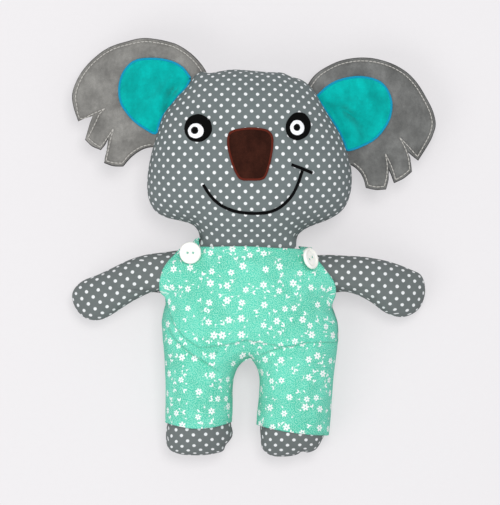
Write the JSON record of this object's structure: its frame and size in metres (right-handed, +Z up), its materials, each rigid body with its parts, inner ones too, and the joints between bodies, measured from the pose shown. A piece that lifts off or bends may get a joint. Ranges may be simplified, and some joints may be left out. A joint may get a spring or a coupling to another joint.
{
  "type": "plush koala",
  "caption": "Stuffed cotton koala with felt ears, embroidered face and buttoned dungarees, lying flat on its back; head, ears, arms and legs flex at their seams.",
  "frame": {"origin": "under the middle of the toy's bounding box, on the surface it lies on", "axes": "+Z up, out of the face and belly; +Y from the feet to the head; +X towards the right of the picture, the toy's own left hand"},
  "size_m": [0.2736, 0.3142, 0.081],
  "materials": {
    "dotted_cotton": "matt printed cotton with small white dots",
    "dark_dotted_cotton": "matt printed cotton with small white dots",
    "floral_cotton": "matt printed cotton with small white flowers",
    "grey_felt": "matt felt",
    "teal_felt": "matt felt",
    "brown_felt": "matt felt",
    "black_thread": "satin embroidery thread",
    "white_thread": "satin embroidery thread",
    "rust_thread": "satin embroidery thread",
    "blue_thread": "satin embroidery thread",
    "grey_thread": "sewing thread",
    "green_thread": "sewing thread",
    "cream_plastic": "polished button"
  },
  "bodies": {
    "torso": {"neck": "dotted_cotton", "torso": "dotted_cotton", "dungaree_front": "floral_cotton", "dungaree_back": "floral_cotton", "bib_panel": "floral_cotton", "left_strap": "floral_cotton", "right_strap": "floral_cotton", "left_button": "cream_plastic", "left_button_thread": "green_thread", "right_button": "cream_plastic", "right_button_thread": "green_thread"},
    "head": {"head": "dotted_cotton", "nose": "brown_felt", "nose_edging": "rust_thread", "smile": "black_thread", "cheek_line": "black_thread", "left_eye": "black_thread", "left_eye_ring": "white_thread", "left_pupil": "black_thread", "right_eye": "black_thread", "right_eye_ring": "white_thread", "right_pupil": "black_thread"},
    "left_ear": {"left_ear_back": "grey_felt", "left_ear_front": "grey_felt", "left_inner_ear": "teal_felt", "left_inner_ear_edging": "blue_thread", "left_ear_topstitching": "grey_thread"},
    "right_ear": {"right_ear_back": "grey_felt", "right_ear_front": "grey_felt", "right_inner_ear": "teal_felt", "right_inner_ear_edging": "blue_thread", "right_ear_topstitching": "grey_thread"},
    "left_arm": {"left_arm": "dark_dotted_cotton"},
    "right_arm": {"right_arm": "dark_dotted_cotton"},
    "left_leg": {"left_leg": "dark_dotted_cotton", "left_trouser_leg": "floral_cotton"},
    "right_leg": {"right_leg": "dark_dotted_cotton", "right_trouser_leg": "floral_cotton"}
  },
  "joints": [
    {"name": "neck_nod", "type": "hinge", "parent": "torso", "child": "head", "pos_m": [-0.00162, 0.00538, 0.0338], "axis": [1, 0, 0], "range_deg": [-30, 30], "stiffness_Nm_per_rad": 0.15, "deforming": ["neck"]},
    {"name": "left_shoulder_fold", "type": "hinge", "parent": "torso", "child": "left_arm", "pos_m": [-0.06078, -0.01904, 0.0318], "axis": [0, 1, 0], "range_deg": [-30, 45], "stiffness_Nm_per_rad": 0.03},
    {"name": "right_shoulder_fold", "type": "hinge", "parent": "torso", "child": "right_arm", "pos_m": [0.0568, -0.01904, 0.0318], "axis": [0, -1, 0], "range_deg": [-30, 45], "stiffness_Nm_per_rad": 0.03},
    {"name": "left_hip_fold", "type": "hinge", "parent": "torso", "child": "left_leg", "pos_m": [-0.00162, -0.08161, 0.0318], "axis": [-1, 0, 0], "range_deg": [-15, 60], "stiffness_Nm_per_rad": 0.06, "deforming": ["left_trouser_leg"]},
    {"name": "right_hip_fold", "type": "hinge", "parent": "torso", "child": "right_leg", "pos_m": [-0.00162, -0.08161, 0.0318], "axis": [-1, 0, 0], "range_deg": [-15, 60], "stiffness_Nm_per_rad": 0.06, "deforming": ["right_trouser_leg"]},
    {"name": "left_ear_fold", "type": "hinge", "parent": "head", "child": "left_ear", "pos_m": [-0.05834, 0.11058, 0.0395], "axis": [0.5686, 0.8226, 0], "range_deg": [-50, 50], "stiffness_Nm_per_rad": 0.006},
    {"name": "right_ear_fold", "type": "hinge", "parent": "head", "child": "right_ear", "pos_m": [0.06292, 0.09897, 0.0395], "axis": [0.4578, -0.8891, 0], "range_deg": [-50, 50], "stiffness_Nm_per_rad": 0.006}
  ]
}
